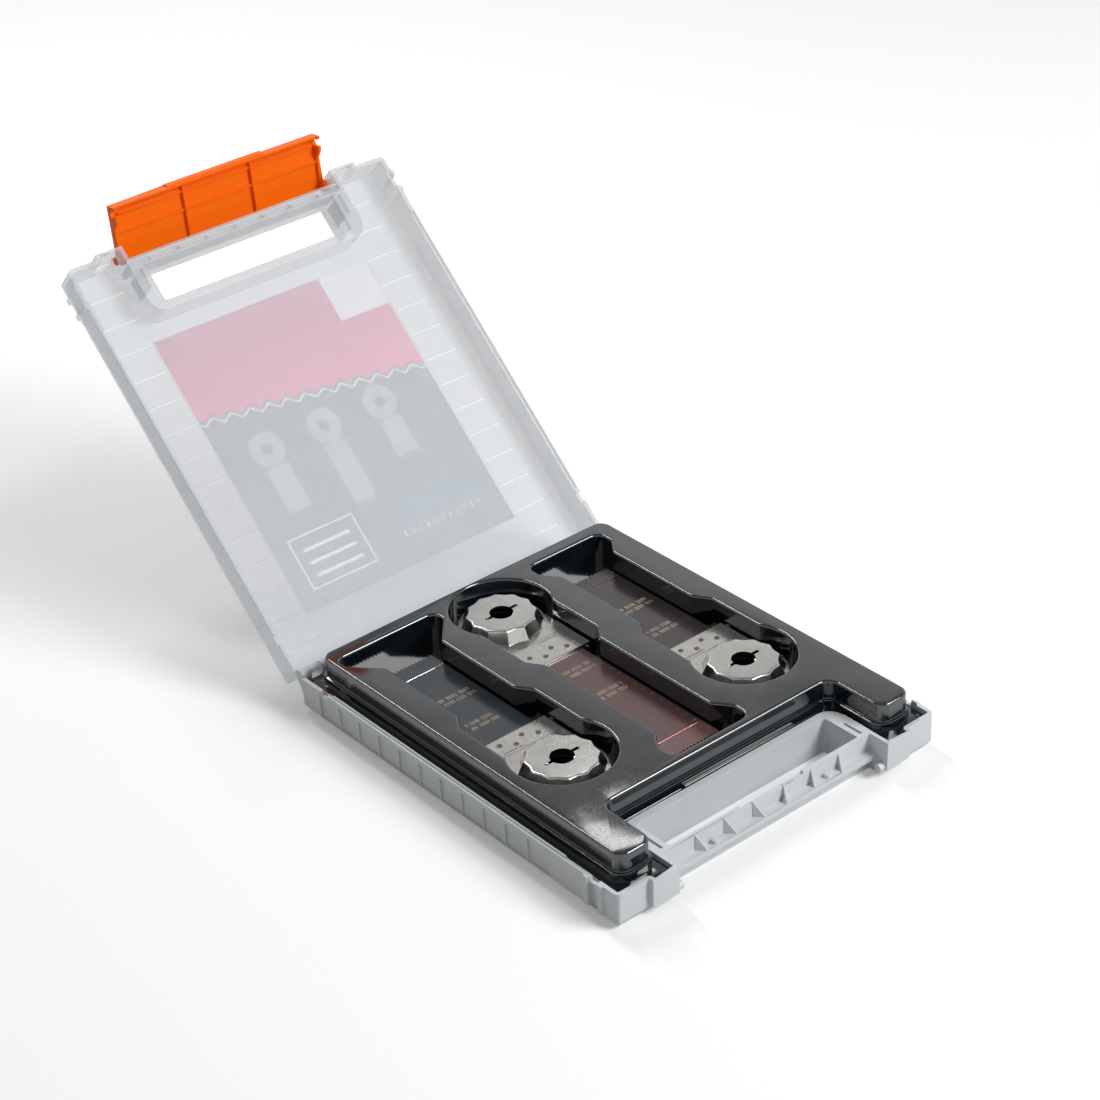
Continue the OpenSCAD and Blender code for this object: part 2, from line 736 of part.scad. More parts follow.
module lid_shell() {
    color(MILKY)
        swung_lid()
            difference() {
                union() {
                    from_lid_face()
                        difference() {
                            half_case(lid_h, bar_front_y);
                            bar_channel();
                            translate([-label_w / 2 - label_room, label_y - label_d / 2 - label_room, -eps])
                                cube([label_w + 2 * label_room, label_d + 2 * label_room, label_t + eps]);
                            mirrored_x()
                                translate([half_w - wall - eps, tongue_y0 - tongue_room,
                                           lid_h - tongue_h - tongue_room])
                                    cube([tongue_w + tongue_room, tongue_y1 - tongue_y0 + 2 * tongue_room,
                                          tongue_h + 1]);
                            translate([half_w - wall - eps, front_y + stout_first - tab_l / 2 - tongue_room,
                                       lid_h - tab_h - tongue_room])
                                cube([tab_t + tongue_room, tab_l + 2 * tongue_room, tab_h + 1]);
                        }
                    mirrored_x()
                        translate([0, 0, hinge_z])
                            mirror([0, 0, 1])
                                knuckle(hinge_x, lid_knuckle);
                }
                mirrored_x() {
                    translate([0, 0, hinge_z])
                        hinge_bore(hinge_x, lid_knuckle, hinge_pin_r + pivot_play);
                    // Room for the base's knuckles
                    for (side = [-1, 1])
                        translate([hinge_x + side * knuckle_step, hinge_y, hinge_z])
                            x_cylinder(knuckle_r + knuckle_room,
                                       -base_knuckle / 2 - knuckle_gap,
                                       base_knuckle / 2 + knuckle_gap);
                    // Bore for the latch's stub
                    translate([0, pivot_y, pivot_z])
                        x_cylinder(stub_r + pivot_play, notch_half - 1, notch_half + wall + 1);
                }
            }
}

module lid_label() {
    color(CRIMSON)
        swung_lid()
            from_lid_face()
                translate([-label_w / 2, label_y - label_d / 2, 0])
                    cube([label_w, label_d, label_t]);
}

module hinge_pin(side) {
    length = lid_knuckle + 2 * (knuckle_gap + base_knuckle);
    color(STEEL)
        translate([side * hinge_x, hinge_y, hinge_z])
            x_cylinder(hinge_pin_r, -length / 2, length / 2);
}

// One end wall of the latch, with the pivot's boss above and the hook below
module latch_end_wall() {
    hook_y = latch_face_y + hook_d;
    web_y = latch_inner_y + end_web;
    x0 = latch_half - latch_end;
    difference() {
        union() {
            x_prism([[latch_face_y, latch_low], [hook_y, latch_low], [hook_y, catch_z + hook_up],
                     [web_y, catch_z + 2 * hook_up], [web_y, pivot_z - boss_r],
                     [pivot_y, pivot_z - boss_r], [pivot_y, pivot_z + boss_r],
                     [latch_face_y, pivot_z + boss_r]], x0, latch_half);
            translate([0, pivot_y, pivot_z])
                x_cylinder(boss_r, x0, latch_half);
        }
        translate([0, pivot_y, catch_z])
            x_cylinder(catch_r + catch_room, x0 - eps, latch_half + eps);
        translate([x0 - eps, pivot_y, catch_z - mouth / 2])
            cube([latch_end + 1, hook_d, mouth]);
    }
    translate([0, pivot_y, pivot_z])
        x_cylinder(stub_r, latch_half - eps, notch_half + wall);
}

module long_rib(half, z) {
    translate([-half, latch_inner_y - eps, z])
        cube([2 * half, long_rib_d, latch_rib_t]);
}

module latch() {
    inner = latch_half - latch_end;
    catch_half = notch_half - catch_l - latch_gap;
    height = pivot_z + boss_r - latch_low;
    color(ORANGE)
        swung_lid()
            translate([0, pivot_y, pivot_z])
                rotate([-latch_open, 0, 0])
                    translate([0, -pivot_y, -pivot_z]) {
                        translate([-latch_half, latch_face_y, latch_low])
                            cube([2 * latch_half, latch_t, height]);
                        mirrored_x()
                            latch_end_wall();
                        // Flange along the free edge, and the pull tab
                        translate([-inner - eps, latch_inner_y - eps, latch_low])
                            cube([2 * inner + 2 * eps, flange_d, latch_rib_t]);
                        translate([-pull_half, latch_face_y, latch_low - pull_out])
                            cube([2 * pull_half, latch_t + latch_rib_d, pull_out + eps]);
                        // Long ribs, the lower one ending short of the catch pins, and the cross ribs
                        long_rib(catch_half, latch_low + long_rib_up);
                        long_rib(inner + eps, (latch_low + pivot_z) / 2);
                        mirrored_x()
                            translate([latch_rib_x - latch_rib_t / 2, latch_inner_y - eps, latch_low + eps])
                                cube([latch_rib_t, latch_rib_d, height - 2]);
                    }
}

// A pocket's straight part, seen from its mount, reaching along +Y
function pocket_corners(p) =
    let (a = plate_w / 2 + mount_gap,
         b = blade_w / 2 + blade_gap,
         f = p[5],
         step = centre_plate + step_gap,
         shoulder = p[3] - p[6],
         wide = shoulder + p[7],
         end = p[3] + p[8])
    [[-a, 0, 0], [a, 0, 0], [a, step, pocket_r], [b, step + step_l, pocket_r],
     [b, shoulder, pocket_r], [f, wide, pocket_r], [f, end, pocket_r + 1],
     [-f, end, pocket_r + 1], [-f, wide, pocket_r], [-b, shoulder, pocket_r],
     [-b, step + step_l, pocket_r], [-a, step, pocket_r]];

module at_mount(p) {
    translate(p[1])
        rotate(p[2])
            children();
}

module pocket_prism(p, grow, z0, z1) {
    at_mount(p) {
        prism(grown(pocket_corners(p), grow), z0, z1);
        translate([0, 0, z0])
            cylinder(h = z1 - z0, r = round_r + grow, $fn = 96);
    }
}

module insert_tray() {
    color(BLACK)
        difference() {
            union() {
                difference() {
                    union() {
                        prism(deck_corners, flange_z - sheet, deck_z);
                        prism(grown(deck_corners, ledge_w), flange_z - sheet, ledge_z);
                        prism(grown(cavity_corners, -flange_gap), flange_z - sheet, flange_z);
                    }
                    prism(grown(deck_corners, -sheet), flange_z - sheet - eps, deck_z - sheet);
                    prism(grown(deck_corners, ledge_w - sheet), flange_z - sheet - eps, ledge_z - sheet);
                }
                for (p = POCKETS)
                    pocket_prism(p, sheet, floor_z - sheet, deck_z);
                translate([bead_x - bead_l / 2, band_y + 2 * flange_gap, flange_z - eps])
                    cube([bead_l, bead_w, bead_h + eps]);
            }
            for (p = POCKETS)
                pocket_prism(p, 0, floor_z, deck_z + eps);
        }
}

// Star with twelve points, r over the points
module star(r) {
    polygon([for (i = [0 : 23]) (r - (i % 2) * flute_d) * [cos(i * 15), sin(i * 15)]]);
}

module star_cup(foot, top, h) {
    linear_extrude(h, scale = top / foot)
        star(foot);
}

// Height of a blade's underside in its pocket
function blade_z(level) = floor_z + stack_gap + level * stack_pitch;

// A mount is a plate with a star cup on it, hollow from below so that stacked mounts nest.
module mount_plate(p, level) {
    slope = (cup_foot - cup_top) / cup_h;
    inner_low = cup_foot - cup_wall + slope * plate_t;
    inner_top = cup_top - cup_wall + slope * cup_lid;
    height = plate_t + cup_h;
    color(STEEL)
        at_mount(p)
            translate([0, 0, blade_z(level) + blade_t])
                difference() {
                    union() {
                        linear_extrude(plate_t) {
                            circle(r = plate_r, $fn = 72);
                            translate([-plate_w / 2, 0])
                                square([plate_w, p[4]]);
                        }
                        translate([0, 0, plate_t - eps])
                            star_cup(cup_foot, cup_top, cup_h + eps);
                    }
                    translate([0, 0, -eps])
                        star_cup(inner_low, inner_top, height - cup_lid + eps);
                    cylinder(h = height + 1, r = hole_r, $fn = round_fn);
                    translate([-key_half, -key_w / 2, 0])
                        cube([2 * key_half, key_w, height + 1]);
                }
}

module blade_body(p, level) {
    color(TINTS[search([p[0]], ["left", "centre", "right"])[0]])
        at_mount(p)
            translate([-blade_w / 2, blade_root, blade_z(level)])
                cube([blade_w, p[3] - p[9] - blade_root, blade_t]);
}

// Strip welded to the blade's end, with a row of teeth
module tooth_strip(p, level) {
    start = p[3] - p[9];
    root = p[3] - tooth_l;
    count = floor(blade_w / tooth_pitch);
    edge = count * tooth_pitch / 2;
    color(STEEL)
        at_mount(p)
            translate([0, 0, blade_z(level)])
                linear_extrude(blade_t)
                    polygon(concat(
                        [[-blade_w / 2, start], [blade_w / 2, start], [blade_w / 2, root], [edge, root]],
                        [for (i = [0 : count - 1])
                            each [[edge - (i + 0.3) * tooth_pitch, p[3]],
                                  [edge - (i + 1) * tooth_pitch, root]]],
                        [[-blade_w / 2, root]]));
}

base_shell();
lid_shell();
lid_label();
latch();
hinge_pin(-1);  // hinge_pin_left
hinge_pin(1);  // hinge_pin_right
insert_tray();
for (p = POCKETS)
    for (level = [0, 1]) {
        mount_plate(p, level);
        blade_body(p, level);
        tooth_strip(p, level);
    }
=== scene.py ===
"""Finishes of a hinged storage case for saw blades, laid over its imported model.

Lengths are in millimetres where a name or a description says so, and in metres elsewhere.
"""

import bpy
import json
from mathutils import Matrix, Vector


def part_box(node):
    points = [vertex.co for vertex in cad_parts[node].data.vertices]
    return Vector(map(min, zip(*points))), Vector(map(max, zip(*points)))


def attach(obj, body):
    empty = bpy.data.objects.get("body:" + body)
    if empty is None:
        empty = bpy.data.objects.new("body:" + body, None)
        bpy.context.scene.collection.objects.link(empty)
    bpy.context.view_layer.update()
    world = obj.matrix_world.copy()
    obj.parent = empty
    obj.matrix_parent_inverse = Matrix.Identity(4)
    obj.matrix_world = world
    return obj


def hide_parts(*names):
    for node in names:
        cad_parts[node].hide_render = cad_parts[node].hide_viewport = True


bl_info = {
    "name": "Saw Blade Storage Case",
    "version": (1, 0, 0),
    "blender": (4, 5, 0),
    "location": "View3D > Sidebar > Blade Case",
    "description": "Edge rounding, print and finishes of a hinged blade case, its insert and its six blades",
    "category": "Object",
}

import json
import math

import bpy
from bpy.props import FloatProperty, FloatVectorProperty, PointerProperty
from mathutils import Matrix, Vector

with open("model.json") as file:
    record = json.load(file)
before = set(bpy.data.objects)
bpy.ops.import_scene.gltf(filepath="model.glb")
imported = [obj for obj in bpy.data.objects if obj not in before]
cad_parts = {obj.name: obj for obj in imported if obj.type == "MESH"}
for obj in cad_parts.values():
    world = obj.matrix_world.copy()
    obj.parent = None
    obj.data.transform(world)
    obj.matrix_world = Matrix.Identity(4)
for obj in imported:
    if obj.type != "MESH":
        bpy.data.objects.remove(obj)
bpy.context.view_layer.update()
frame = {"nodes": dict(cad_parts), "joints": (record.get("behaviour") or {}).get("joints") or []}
NODES = frame["nodes"]

MM = 0.001
PLACES = ("left", "centre", "right")
LEVELS = ("lower", "upper")

LID_HINGE = next(joint for joint in frame["joints"] if joint["name"] == "lid_hinge")
HINGE_Y, HINGE_Z = LID_HINGE["pos_m"][1], LID_HINGE["pos_m"][2]
LID_SWING = math.radians(min(LID_HINGE["range_deg"]))
# Millimetres from a level within which a vertex lies on it
LEVEL_SLACK = 0.02


def shut_place(y, z):
    """Where a point of the open lid lies when the lid is shut."""
    cosine, sine = math.cos(LID_SWING), math.sin(LID_SWING)
    along, up = y - HINGE_Y, z - HINGE_Z
    return HINGE_Y + along * cosine + up * sine, HINGE_Z - along * sine + up * cosine


def shut_spread(node):
    """The lowest and highest y of a lid node when the lid is shut."""
    places = [shut_place(vertex.co.y, vertex.co.z)[0] for vertex in NODES[node].data.vertices]
    return min(places), max(places)


def mount_place(place):
    """The hole's x and y, and 1 or -1 for the way that the blade reaches along y."""
    low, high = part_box(f"mount_{place}_upper")
    strip_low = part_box(f"teeth_{place}_upper")[0]
    radius = (high.x - low.x) / 2
    way = 1 if strip_low.y > low.y else -1
    return (low.x + high.x) / 2, low.y + radius if way > 0 else high.y - radius, way


def colour(name, text, value):
    """A colour setting, in linear light."""
    return FloatVectorProperty(name=name, description=text, subtype="COLOR", size=3, min=0, max=1,
                               default=value)


def length(name, text, value, least=0.0, most=50.0):
    """A length setting, in millimetres."""
    return FloatProperty(name=name, description=text + ", in millimetres", default=value, min=least, max=most)


class CaseSizes(bpy.types.PropertyGroup):
    """Radii and details that the finishes add to the moulded and pressed pieces."""

    shell_edge: length("Shell edge", "Radius of the base's and the lid's moulded edges", 0.18)
    latch_edge: length("Latch edge", "Radius of the latch's moulded edges", 0.25)
    deck_lip: length("Deck lip", "Radius of the formed lips of the insert's deck and pockets", 1.1)
    ledge_lip: length("Ledge lip", "Radius of the insert's ledge and flange", 0.4)
    mount_edge: length("Mount edge", "Radius of the mount plates' cut edges", 0.2)
    cup_edge: length("Cup edge", "Radius of the star cups' pressed edges", 0.6)
    seam_w: length("Seam width", "Width of the weld bead between a blade and its tooth strip", 0.7)
    seam_h: length("Seam height", "Height of that bead above the blade", 0.14)
    weld_r: length("Weld radius", "Radius of a spot weld's ring", 1.15)
    weld_h: length("Weld height", "Height of that ring above its plate", 0.16)


class CaseColours(bpy.types.PropertyGroup):
    """Colours of the moulded, printed and coated pieces."""

    base: colour("Base", "Grey of the moulded base", (0.62, 0.645, 0.66))
    lid: colour("Lid", "Milky white of the lid", (0.57, 0.59, 0.61))
    latch: colour("Latch", "Orange of the latch", (1.0, 0.15, 0.0))
    insert: colour("Insert", "Black of the formed insert", (0.004, 0.0085, 0.012))
    steel: colour("Steel", "Bright steel of the mounts", (0.50, 0.49, 0.47))
    weld: colour("Welds", "Heat-tinted steel of the welds", (0.17, 0.145, 0.115))
    left: colour("Left blades", "Coat of the left blades", (0.014, 0.021, 0.026))
    centre: colour("Centre blades", "Coat of the centre blades", (0.078, 0.031, 0.031))
    right: colour("Right blades", "Coat of the right blades", (0.021, 0.012, 0.016))
    etch: colour("Etching", "Light marks etched into a blade's coat", (0.42, 0.33, 0.23))
    crimson: colour("Label band", "Crimson band of the label", (0.70, 0.02, 0.26))
    graphite: colour("Label field", "Graphite field of the label", (0.16, 0.175, 0.19))
    teal: colour("Label bar", "Teal bar of the label", (0.0, 0.23, 0.32))
    paper: colour("Label white", "White of the label's lines", (0.82, 0.82, 0.80))


def settings():
    """The scene's sizes and colours."""
    scene = bpy.context.scene
    return scene.case_sizes, scene.case_colours


class Field:
    """A shader socket that takes part in plain sums and comparisons."""

    def __init__(self, finish, socket):
        self.finish = finish
        self.socket = socket

    def compute(self, operation, *values):
        """A math node of the values."""
        return self.finish.node("ShaderNodeMath", {"operation": operation}, dict(enumerate(values)))

    def __add__(self, other):
        return self.compute("ADD", self, other)

    def __radd__(self, other):
        return self.compute("ADD", other, self)

    def __sub__(self, other):
        return self.compute("SUBTRACT", self, other)

    def __rsub__(self, other):
        return self.compute("SUBTRACT", other, self)

    def __mul__(self, other):
        return self.compute("MULTIPLY", self, other)

    def __truediv__(self, other):
        return self.compute("DIVIDE", self, other)

    def __lt__(self, other):
        return self.compute("LESS_THAN", self, other)

    def __gt__(self, other):
        return self.compute("GREATER_THAN", self, other)

    def __abs__(self):
        return self.compute("ABSOLUTE", self)

    def root(self):
        return self.compute("SQRT", self)

    def floor(self):
        return self.compute("FLOOR", self)

    def wrap(self, pitch):
        """The distance past the last multiple of pitch."""
        return self.compute("FLOORED_MODULO", self, pitch)

    def between(self, low, high):
        return (self > low) * (self < high)

    def ramp(self, low, high, start=0.0, end=1.0):
        """Start below low, end above high, and evenly in between."""
        return self.finish.node("ShaderNodeMapRange", {"clamp": True}, {
            "Value": self, "From Min": low, "From Max": high, "To Min": start, "To Max": end})


def either(first, *others):
    """The union of masks."""
    for other in others:
        first = first.compute("MAXIMUM", first, other)
    return first


def ring(x, y, radius, width):
    """A mask of a circular line."""
    return abs((x * x + y * y).root() - radius) < width / 2


def frame_line(x, y, half_x, half_y, width):
    """A mask of a rectangle's outline."""
    outer = (abs(x) < half_x) * (abs(y) < half_y)
    inner = (abs(x) < half_x - width) * (abs(y) < half_y - width)
    return outer - inner


class Nodes:
    """A node tree while it is put together."""

    def __init__(self, tree):
        self.tree = tree

    def node(self, kind, options=None, values=None, output=0):
        """A node with its settings made first, then the values or links of its sockets."""
        node = self.tree.nodes.new(kind)
        for key, value in (options or {}).items():
            setattr(node, key, value)
        for key, value in (values or {}).items():
            self.feed(node.inputs[key], value)
        return Field(self, node.outputs[output])

    def feed(self, socket, value):
        """Links a socket to a field or another socket, or sets its value."""
        if isinstance(value, Field):
            value = value.socket
        if isinstance(value, bpy.types.NodeSocket):
            self.tree.links.new(value, socket)
        elif socket.type == "RGBA" and len(value) == 3:
            socket.default_value = (*value, 1)
        else:
            socket.default_value = value

    def rays(self, *names):
        """A mask of the kinds of ray that are named."""
        path = self.tree.nodes.new("ShaderNodeLightPath")
        return either(*(Field(self, path.outputs[name]) for name in names))


class Finish(Nodes):
    """A material while it is put together, with its object coordinates in millimetres."""

    def __init__(self, name, **sockets):
        self.material = bpy.data.materials.new(name)
        self.material.use_nodes = True
        super().__init__(self.material.node_tree)
        self.shader = self.tree.nodes["Principled BSDF"]
        for key, value in sockets.items():
            self.shader.inputs[key.replace("_", " ")].default_value = value
        self.coordinates = self.tree.nodes.new("ShaderNodeTexCoord").outputs["Object"]
        self.place = self.node("ShaderNodeVectorMath", {"operation": "SCALE"},
                               {0: self.coordinates, "Scale": 1 / MM})
        split = self.tree.nodes.new("ShaderNodeSeparateXYZ")
        self.tree.links.new(self.place.socket, split.inputs[0])
        self.x, self.y, self.z = (Field(self, split.outputs[i]) for i in range(3))

    def set(self, **sockets):
        """Feeds the shader's sockets, an underscore standing for a space."""
        for key, value in sockets.items():
            self.feed(self.shader.inputs[key.replace("_", " ")], value)

    def mix(self, factor, first, second):
        """Colour first where factor is 0 and second where it is 1."""
        return self.node("ShaderNodeMix", {"data_type": "RGBA"}, {0: factor, 6: first, 7: second}, 2)

    def noise(self, grain, detail=2.0, stretch=(1, 1, 1)):
        """Even noise from 0 to 1 whose blotches are about grain millimetres across."""
        place = self.node("ShaderNodeVectorMath", {"operation": "MULTIPLY"}, {0: self.place, 1: stretch})
        return self.node("ShaderNodeTexNoise", {}, {
            "Vector": place, "Scale": 1 / grain, "Detail": detail, "Roughness": 0.55})

    def bump(self, height, depth, strength=1.0):
        """Relief of a height field, depth millimetres deep."""
        normal = self.node("ShaderNodeBump", {}, {
            "Height": height, "Distance": depth * MM, "Strength": strength})
        self.set(Normal=normal)

    def along(self, direction, origin=(0, 0, 0)):
        """Millimetres along a direction from an origin given in metres."""
        offset = sum(d * o for d, o in zip(direction, origin)) / MM
        dot = self.node("ShaderNodeVectorMath", {"operation": "DOT_PRODUCT"},
                        {0: self.place, 1: direction}, 1)
        return dot - offset


def shaded(shade, light):
    """A colour made lighter or darker by a factor."""
    return tuple(min(1.0, value * light) for value in shade)


def pick(piece):
    """Makes a piece the only one selected, and active."""
    bpy.ops.object.select_all(action="DESELECT")
    piece.select_set(True)
    bpy.context.view_layer.objects.active = piece


def new_piece(name):
    """Names the active object and puts its place into its mesh."""
    piece = bpy.context.object
    piece.name = piece.data.name = name
    pick(piece)
    bpy.ops.object.transform_apply(location=True, rotation=True, scale=True)
    return piece


def cover(piece, finish):
    """Gives a piece its only material."""
    piece.data.materials.clear()
    piece.data.materials.append(finish.material)


def dress(piece, finish, body):
    """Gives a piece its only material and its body."""
    cover(piece, finish)
    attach(piece, body)


def apply_modifier(piece, kind, **options):
    """Adds a modifier with its settings, and applies it."""
    pick(piece)
    modifier = piece.modifiers.new(kind, kind)
    for key, value in options.items():
        setattr(modifier, key, value)
    bpy.ops.object.modifier_apply(modifier=modifier.name)


def moulding(node, name, weld=0.05):
    """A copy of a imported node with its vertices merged."""
    piece = bpy.data.objects.new(name, NODES[node].data.copy())
    piece.data.name = name
    bpy.context.collection.objects.link(piece)
    pick(piece)
    bpy.ops.object.mode_set(mode="EDIT")
    bpy.ops.mesh.select_all(action="SELECT")
    bpy.ops.mesh.remove_doubles(threshold=weld * MM)
    bpy.ops.object.mode_set(mode="OBJECT")
    bpy.ops.mesh.customdata_custom_splitnormals_clear()
    return piece


def face_angle(mesh):
    """The angle between the two faces of each edge, by its pair of vertices."""
    normals = {}
    for polygon in mesh.polygons:
        for key in polygon.edge_keys:
            normals.setdefault(key, []).append(polygon.normal)
    return {key: pair[0].angle(pair[1], 0) for key, pair in normals.items() if len(pair) == 2}


def round_edges(piece, radius, chosen, segments=2, least=30):
    """Rounds the edges steeper than least degrees whose two ends are chosen."""
    mesh = piece.data
    weights = mesh.attributes.get("bevel_weight_edge")
    if weights is None:
        weights = mesh.attributes.new("bevel_weight_edge", "FLOAT", "EDGE")
    angles = face_angle(mesh)
    for edge in mesh.edges:
        steep = angles.get(edge.key, 0) > math.radians(least)
        ends = [mesh.vertices[i].co for i in edge.vertices]
        weights.data[edge.index].value = float(steep and chosen(*ends))
    apply_modifier(piece, "BEVEL", width=radius * MM, segments=segments, limit_method="WEIGHT",
                   use_clamp_overlap=False, miter_outer="MITER_ARC", loop_slide=False)


def smooth(piece, degrees=40):
    """Smooth shading over the rounded edges, the flat faces staying flat."""
    pick(piece)
    bpy.ops.object.shade_smooth_by_angle(angle=math.radians(degrees))
    apply_modifier(piece, "WEIGHTED_NORMAL", weight=100, keep_sharp=True)


def every_edge(first, second):
    """Chooses each edge that is steep enough."""
    return True


def moulded_satin(name, shade, roughness):
    """Fine satin grain with a faint cloudiness, as a textured mould leaves it."""
    finish = Finish(name, Roughness=roughness)
    cloud = finish.noise(14.0, 3.0)
    grain = finish.noise(0.35, 1.0)
    finish.set(Base_Color=finish.mix(cloud, shaded(shade, 0.97), shaded(shade, 1.03)),
               Roughness=grain.ramp(0.3, 0.7, roughness - 0.06, roughness + 0.08))
    finish.bump(grain, 0.012)
    return finish


class BLADECASE_OT_stage(bpy.types.Operator):
    """Adds the floor, the studio lights and the camera"""

    bl_idname = "bladecase.stage"
    bl_label = "Stage"

    def execute(self, context):
        self.add_floor()
        self.add_world(context.scene)
        self.add_lights()
        self.add_camera(context.scene)
        context.scene.view_settings.view_transform = "Standard"
        return {"FINISHED"}

    def add_floor(self):
        bpy.ops.object.select_all(action="DESELECT")
        bpy.ops.mesh.primitive_plane_add(size=FLOOR_SIZE)
        floor = new_piece("floor")
        finish = Finish("studio_floor", Roughness=0.9, Specular_IOR_Level=0.1)
        seen = finish.rays("Is Camera Ray", "Is Glossy Ray", "Is Transmission Ray")
        finish.set(Base_Color=finish.mix(seen, FLOOR_BOUNCE, FLOOR_WHITE),
                   Emission_Color=(1, 1, 1), Emission_Strength=seen * FLOOR_GLOW)
        floor.data.materials.append(finish.material)

    def add_world(self, scene):
        world = bpy.data.worlds.new("studio")
        world.use_nodes = True
        scene.world = world
        sky = Nodes(world.node_tree)
        split = sky.node("ShaderNodeSeparateXYZ", {}, {
            0: sky.tree.nodes.new("ShaderNodeTexCoord").outputs["Generated"]}, 2)
        mirrored = sky.rays("Is Glossy Ray") * split.ramp(*SKY_RISE, *SKY_GLOSS)
        strength = either(sky.rays("Is Camera Ray", "Is Transmission Ray"), mirrored)
        background = world.node_tree.nodes["Background"]
        background.inputs["Color"].default_value = (1, 1, 1, 1)
        sky.feed(background.inputs["Strength"], strength.ramp(0.0, 1.0, ROOM_LIGHT, 1.0))

    def add_lights(self):
        for name, direction, away, size, power in LAMPS:
            self.add_lamp(name, CASE_MIDDLE, Vector(direction), away, size, power)
        # A small panel whose mirror image lies on the left prong of the insert's deck
        low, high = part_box("insert_tray")
        prong = Vector((low.x + PRONG_SPOT[0] * MM, low.y + PRONG_SPOT[1] * MM, high.z))
        mirror = prong - camera_place()
        mirror.z = -mirror.z
        self.add_lamp("prong_lamp", prong, mirror, *PRONG_LAMP)

    def add_lamp(self, name, aim, direction, away, size, power):
        place = aim + direction.normalized() * away
        bpy.ops.object.select_all(action="DESELECT")
        bpy.ops.object.light_add(type="AREA", location=place)
        lamp = bpy.context.object
        lamp.name = name
        lamp.data.shape = "RECTANGLE"
        lamp.data.size, lamp.data.size_y = size
        lamp.data.energy = power
        lamp.rotation_euler = (aim - place).to_track_quat("-Z", "Y").to_euler()

    def add_camera(self, scene):
        turn, roll = math.radians(CAMERA_TURN), math.radians(CAMERA_ROLL)
        back = view_back()
        right = Vector((math.cos(turn), math.sin(turn), 0))
        up = back.cross(right)
        camera = bpy.data.objects.new("camera", bpy.data.cameras.new("camera"))
        scene.collection.objects.link(camera)
        side = right * math.cos(roll) + up * math.sin(roll)
        head = up * math.cos(roll) - right * math.sin(roll)
        camera.matrix_world = Matrix.Translation(camera_place()) @ Matrix(
            (side, head, back)).transposed().to_4x4()
        camera.data.sensor_width = 36
        camera.data.lens = CAMERA_LENS
        scene.camera = camera


def view_back():
    """The direction from the case to the camera."""
    turn, rise = math.radians(CAMERA_TURN), math.radians(CAMERA_RISE)
    return Vector((math.sin(turn) * math.cos(rise), -math.cos(turn) * math.cos(rise), math.sin(rise)))


def camera_place():
    """The point that the camera sees the case from."""
    return CAMERA_TARGET + view_back() * CAMERA_AWAY


# Metres along a side of the floor
FLOOR_SIZE = 4.4
# The floor's colour in the light that it throws on the case, its colour as it is seen, and its own
# glow where it is seen
FLOOR_BOUNCE = (0.60, 0.60, 0.60)
FLOOR_WHITE = (0.88, 0.88, 0.88)
FLOOR_GLOW = 0.16
# Strength of the white room where it is neither seen nor mirrored
ROOM_LIGHT = 0.25
# As the sky rises, what glossy surfaces mirror falls from the first share of white to the second,
# the rest being the room's own strength
SKY_RISE = (0.53, 0.62)
SKY_GLOSS = (1.0, 0.08)
CASE_MIDDLE = Vector((0, 0.03, 0.03))
# Each lamp: name, direction from the case, distance, width and height, and watts
LAMPS = (
    ("key_lamp", (0.42, -0.66, 0.62), 2.0, (0.8, 0.8), 31.0),
    ("rim_lamp", (0.10, 0.67, 0.73), 1.3, (0.14, 0.60), 6.0),
)
# Millimetres from the insert's left front corner to the bright patch, and that lamp's distance,
# width and height, and watts
PRONG_SPOT = (8.0, 3.0)
PRONG_LAMP = (1.2, (0.10, 0.045), 0.08)
CAMERA_TURN = -38.428
CAMERA_RISE = 31.318
CAMERA_ROLL = -3.34
CAMERA_AWAY = 1.199039
CAMERA_TARGET = Vector((0.070572, 0.12219, 0.0))
CAMERA_LENS = 88.09


class BLADECASE_OT_base(bpy.types.Operator):
    """Rounds the base's edges and gives it its grey grain"""

    bl_idname = "bladecase.base"
    bl_label = "Base"

    def execute(self, context):
        sizes, colours = settings()
        finish = moulded_satin("base_grey_satin", colours.base, 0.42)
        base = moulding("base_shell", "base_moulding")
        round_edges(base, sizes.shell_edge, every_edge)
        smooth(base)
        dress(base, finish, "base")
        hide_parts("base_shell")
        return {"FINISHED"}


class BLADECASE_OT_lid(bpy.types.Operator):
    """Rounds the lid's edges and makes it milky and see-through"""

    bl_idname = "bladecase.lid"
    bl_label = "Lid"

    def execute(self, context):
        sizes, colours = settings()
        # The lid glows a little: painted light, standing in for the light that its milk lets through
        finish = Finish("lid_milky", Roughness=0.34, Specular_IOR_Level=0.3, Emission_Strength=LID_PAINTED_GLOW,
                        Emission_Color=(0.9, 0.95, 1.0, 1))
        cloud = finish.noise(22.0, 3.0)
        grain = finish.noise(0.5, 1.0)
        # The face that the label covers touches its print, so it is left clear
        across, down, depth = lid_axes(finish)
        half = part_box("lid_label")[1].x / MM
        front, rear = (value / MM for value in shut_spread("lid_label"))
        covered = (abs(across) < half) * down.between(0.0, rear - front) * (
            abs(depth - label_depths()[0]) < COVER_SLACK)
        cells = abs(across).between(*CELL_BAND) * ((down - CELL_START).wrap(CELL_PITCH) < CELL_RIB)
        veil = cloud.ramp(0.2, 0.8, LID_VEIL - 0.02, LID_VEIL + 0.02) - cells * CELL_CLEAR
        finish.set(Base_Color=finish.mix(cloud, shaded(colours.lid, 0.98), shaded(colours.lid, 1.03)),
                   Roughness=grain.ramp(0.3, 0.7, 0.28, 0.42), Alpha=veil * (1.0 - covered))
        finish.bump(grain, 0.008)
        lid = moulding("lid_shell", "lid_moulding")
        round_edges(lid, sizes.shell_edge, every_edge)
        smooth(lid)
        dress(lid, finish, "lid")
        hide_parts("lid_shell")
        return {"FINISHED"}


